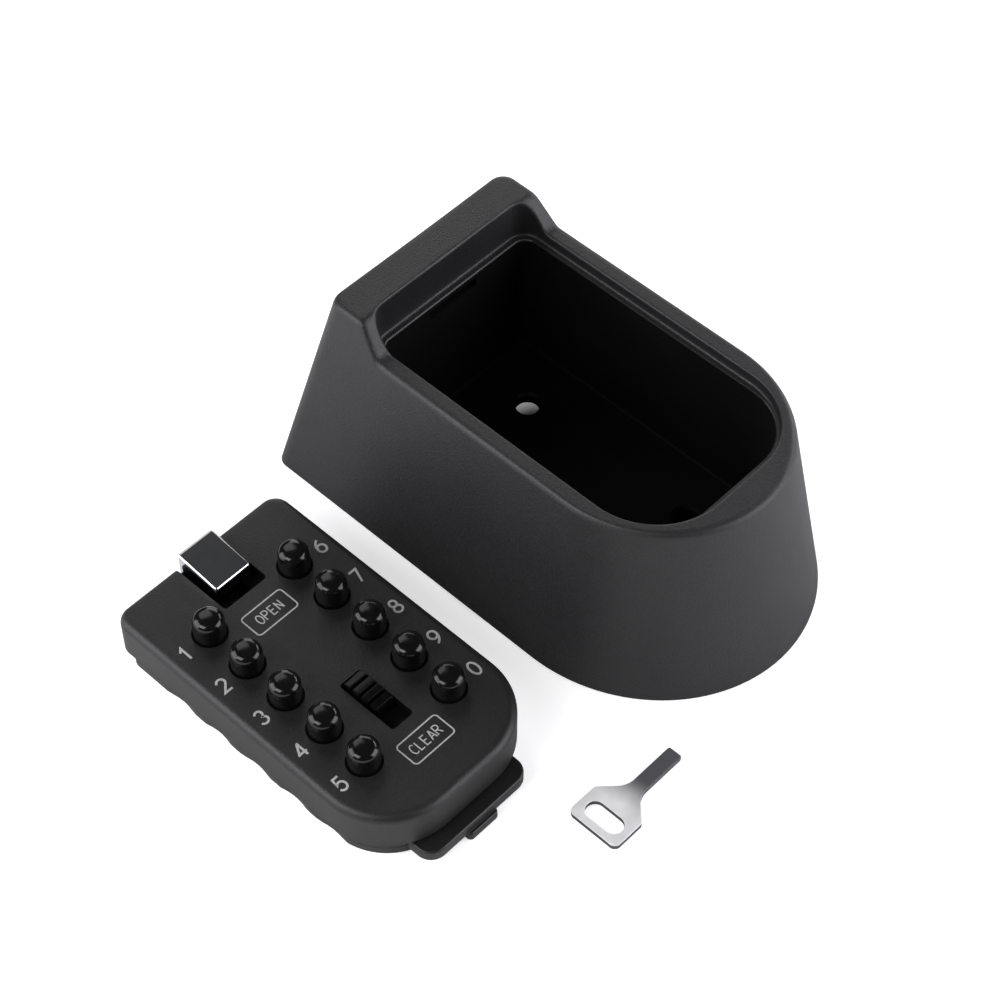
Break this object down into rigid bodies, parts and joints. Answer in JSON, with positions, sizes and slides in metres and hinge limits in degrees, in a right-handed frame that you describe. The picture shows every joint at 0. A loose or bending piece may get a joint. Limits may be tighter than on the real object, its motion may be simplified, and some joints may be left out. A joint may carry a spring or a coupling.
{
  "type": "wall key safe",
  "caption": "Wall key safe, open: tapered cast shell with a browed flat end and a round end, its lift-off push-button lid with opening and clearing slides, and a flat code key.",
  "frame": {"origin": "middle of the shell's back face, on the wall", "axes": "+Z out from the wall, +Y towards the browed top end, +X to the right of someone facing the safe"},
  "size_m": [0.1189, 0.1103, 0.0474],
  "materials": {
    "shell_coat": "satin",
    "lid_coat": "satin",
    "plate_coat": "satin",
    "black_plastic": "gloss",
    "chrome": "polished",
    "plain_steel": "satin",
    "spring_wire": "satin",
    "key_steel": "brushed",
    "brass": "satin"
  },
  "bodies": {
    "shell": {"shell": "shell_coat"},
    "lid": {"lid_front": "lid_coat", "lid_back": "plate_coat", "spring_shelf": "plain_steel", "back_screws": "plain_steel", "spring_1": "spring_wire", "spring_2": "spring_wire", "spring_3": "spring_wire", "spring_4": "spring_wire", "spring_5": "spring_wire", "spring_6": "spring_wire", "spring_7": "spring_wire", "spring_8": "spring_wire", "spring_9": "spring_wire", "spring_0": "spring_wire", "open_spring": "spring_wire", "clear_spring": "spring_wire"},
    "button_1": {"button_1": "black_plastic"},
    "pin_1": {"pin_1": "brass"},
    "button_2": {"button_2": "black_plastic"},
    "pin_2": {"pin_2": "brass"},
    "button_3": {"button_3": "black_plastic"},
    "pin_3": {"pin_3": "brass"},
    "button_4": {"button_4": "black_plastic"},
    "pin_4": {"pin_4": "brass"},
    "button_5": {"button_5": "black_plastic"},
    "pin_5": {"pin_5": "brass"},
    "button_6": {"button_6": "black_plastic"},
    "pin_6": {"pin_6": "brass"},
    "button_7": {"button_7": "black_plastic"},
    "pin_7": {"pin_7": "brass"},
    "button_8": {"button_8": "black_plastic"},
    "pin_8": {"pin_8": "brass"},
    "button_9": {"button_9": "black_plastic"},
    "pin_9": {"pin_9": "brass"},
    "button_0": {"button_0": "black_plastic"},
    "pin_0": {"pin_0": "brass"},
    "opener": {"open_slide": "chrome", "lock_plate": "plain_steel"},
    "clearer": {"clear_slide": "black_plastic", "clear_bar": "plain_steel"},
    "code_key": {"code_key": "key_steel"}
  },
  "joints": [
    {"name": "lid_swing", "type": "hinge", "parent": "shell", "child": "lid", "pos_m": [-0.0656, -0.0376, 0], "axis": [1, 0, 0], "range_deg": [0, 75]},
    {"name": "press_1", "type": "slide", "parent": "lid", "child": "button_1", "axis": [0, 0, -1], "range_m": [0, 0.0024], "stiffness_N_per_m": 400, "springref_m": -0.003, "deforming": ["spring_1"]},
    {"name": "set_1", "type": "hinge", "parent": "button_1", "child": "pin_1", "pos_m": [-0.07635, 0.0222, 0.006], "axis": [0, 0, 1], "range_deg": [0, 180]},
    {"name": "press_2", "type": "slide", "parent": "lid", "child": "button_2", "axis": [0, 0, -1], "range_m": [0, 0.0024], "stiffness_N_per_m": 400, "springref_m": -0.003, "deforming": ["spring_2"]},
    {"name": "set_2", "type": "hinge", "parent": "button_2", "child": "pin_2", "pos_m": [-0.07635, 0.0121, 0.006], "axis": [0, 0, 1], "range_deg": [0, 180]},
    {"name": "press_3", "type": "slide", "parent": "lid", "child": "button_3", "axis": [0, 0, -1], "range_m": [0, 0.0024], "stiffness_N_per_m": 400, "springref_m": -0.003, "deforming": ["spring_3"]},
    {"name": "set_3", "type": "hinge", "parent": "button_3", "child": "pin_3", "pos_m": [-0.07635, 0.002, 0.006], "axis": [0, 0, 1], "range_deg": [0, 180]},
    {"name": "press_4", "type": "slide", "parent": "lid", "child": "button_4", "axis": [0, 0, -1], "range_m": [0, 0.0024], "stiffness_N_per_m": 400, "springref_m": -0.003, "deforming": ["spring_4"]},
    {"name": "set_4", "type": "hinge", "parent": "button_4", "child": "pin_4", "pos_m": [-0.07635, -0.0081, 0.006], "axis": [0, 0, 1], "range_deg": [0, 180]},
    {"name": "press_5", "type": "slide", "parent": "lid", "child": "button_5", "axis": [0, 0, -1], "range_m": [0, 0.0024], "stiffness_N_per_m": 400, "springref_m": -0.003, "deforming": ["spring_5"]},
    {"name": "set_5", "type": "hinge", "parent": "button_5", "child": "pin_5", "pos_m": [-0.07635, -0.0182, 0.006], "axis": [0, 0, 1], "range_deg": [0, 180]},
    {"name": "press_6", "type": "slide", "parent": "lid", "child": "button_6", "axis": [0, 0, -1], "range_m": [0, 0.0024], "stiffness_N_per_m": 400, "springref_m": -0.003, "deforming": ["spring_6"]},
    {"name": "set_6", "type": "hinge", "parent": "button_6", "child": "pin_6", "pos_m": [-0.05485, 0.0222, 0.006], "axis": [0, 0, 1], "range_deg": [0, 180]},
    {"name": "press_7", "type": "slide", "parent": "lid", "child": "button_7", "axis": [0, 0, -1], "range_m": [0, 0.0024], "stiffness_N_per_m": 400, "springref_m": -0.003, "deforming": ["spring_7"]},
    {"name": "set_7", "type": "hinge", "parent": "button_7", "child": "pin_7", "pos_m": [-0.05485, 0.0121, 0.006], "axis": [0, 0, 1], "range_deg": [0, 180]},
    {"name": "press_8", "type": "slide", "parent": "lid", "child": "button_8", "axis": [0, 0, -1], "range_m": [0, 0.0024], "stiffness_N_per_m": 400, "springref_m": -0.003, "deforming": ["spring_8"]},
    {"name": "set_8", "type": "hinge", "parent": "button_8", "child": "pin_8", "pos_m": [-0.05485, 0.002, 0.006], "axis": [0, 0, 1], "range_deg": [0, 180]},
    {"name": "press_9", "type": "slide", "parent": "lid", "child": "button_9", "axis": [0, 0, -1], "range_m": [0, 0.0024], "stiffness_N_per_m": 400, "springref_m": -0.003, "deforming": ["spring_9"]},
    {"name": "set_9", "type": "hinge", "parent": "button_9", "child": "pin_9", "pos_m": [-0.05485, -0.0081, 0.006], "axis": [0, 0, 1], "range_deg": [0, 180]},
    {"name": "press_0", "type": "slide", "parent": "lid", "child": "button_0", "axis": [0, 0, -1], "range_m": [0, 0.0024], "stiffness_N_per_m": 400, "springref_m": -0.003, "deforming": ["spring_0"]},
    {"name": "set_0", "type": "hinge", "parent": "button_0", "child": "pin_0", "pos_m": [-0.05485, -0.0182, 0.006], "axis": [0, 0, 1], "range_deg": [0, 180]},
    {"name": "open_push", "type": "slide", "parent": "lid", "child": "opener", "axis": [0, -1, 0], "range_m": [0, 0.0032], "stiffness_N_per_m": 600, "springref_m": -0.002, "deforming": ["open_spring"]},
    {"name": "clear_push", "type": "slide", "parent": "lid", "child": "clearer", "axis": [0, -1, 0], "range_m": [0, 0.004], "stiffness_N_per_m": 400, "springref_m": -0.002, "deforming": ["clear_spring"]},
    {"name": "key_lift", "type": "slide", "parent": "shell", "child": "code_key", "axis": [0, 0, 1], "range_m": [0, 0.06]}
  ]
}
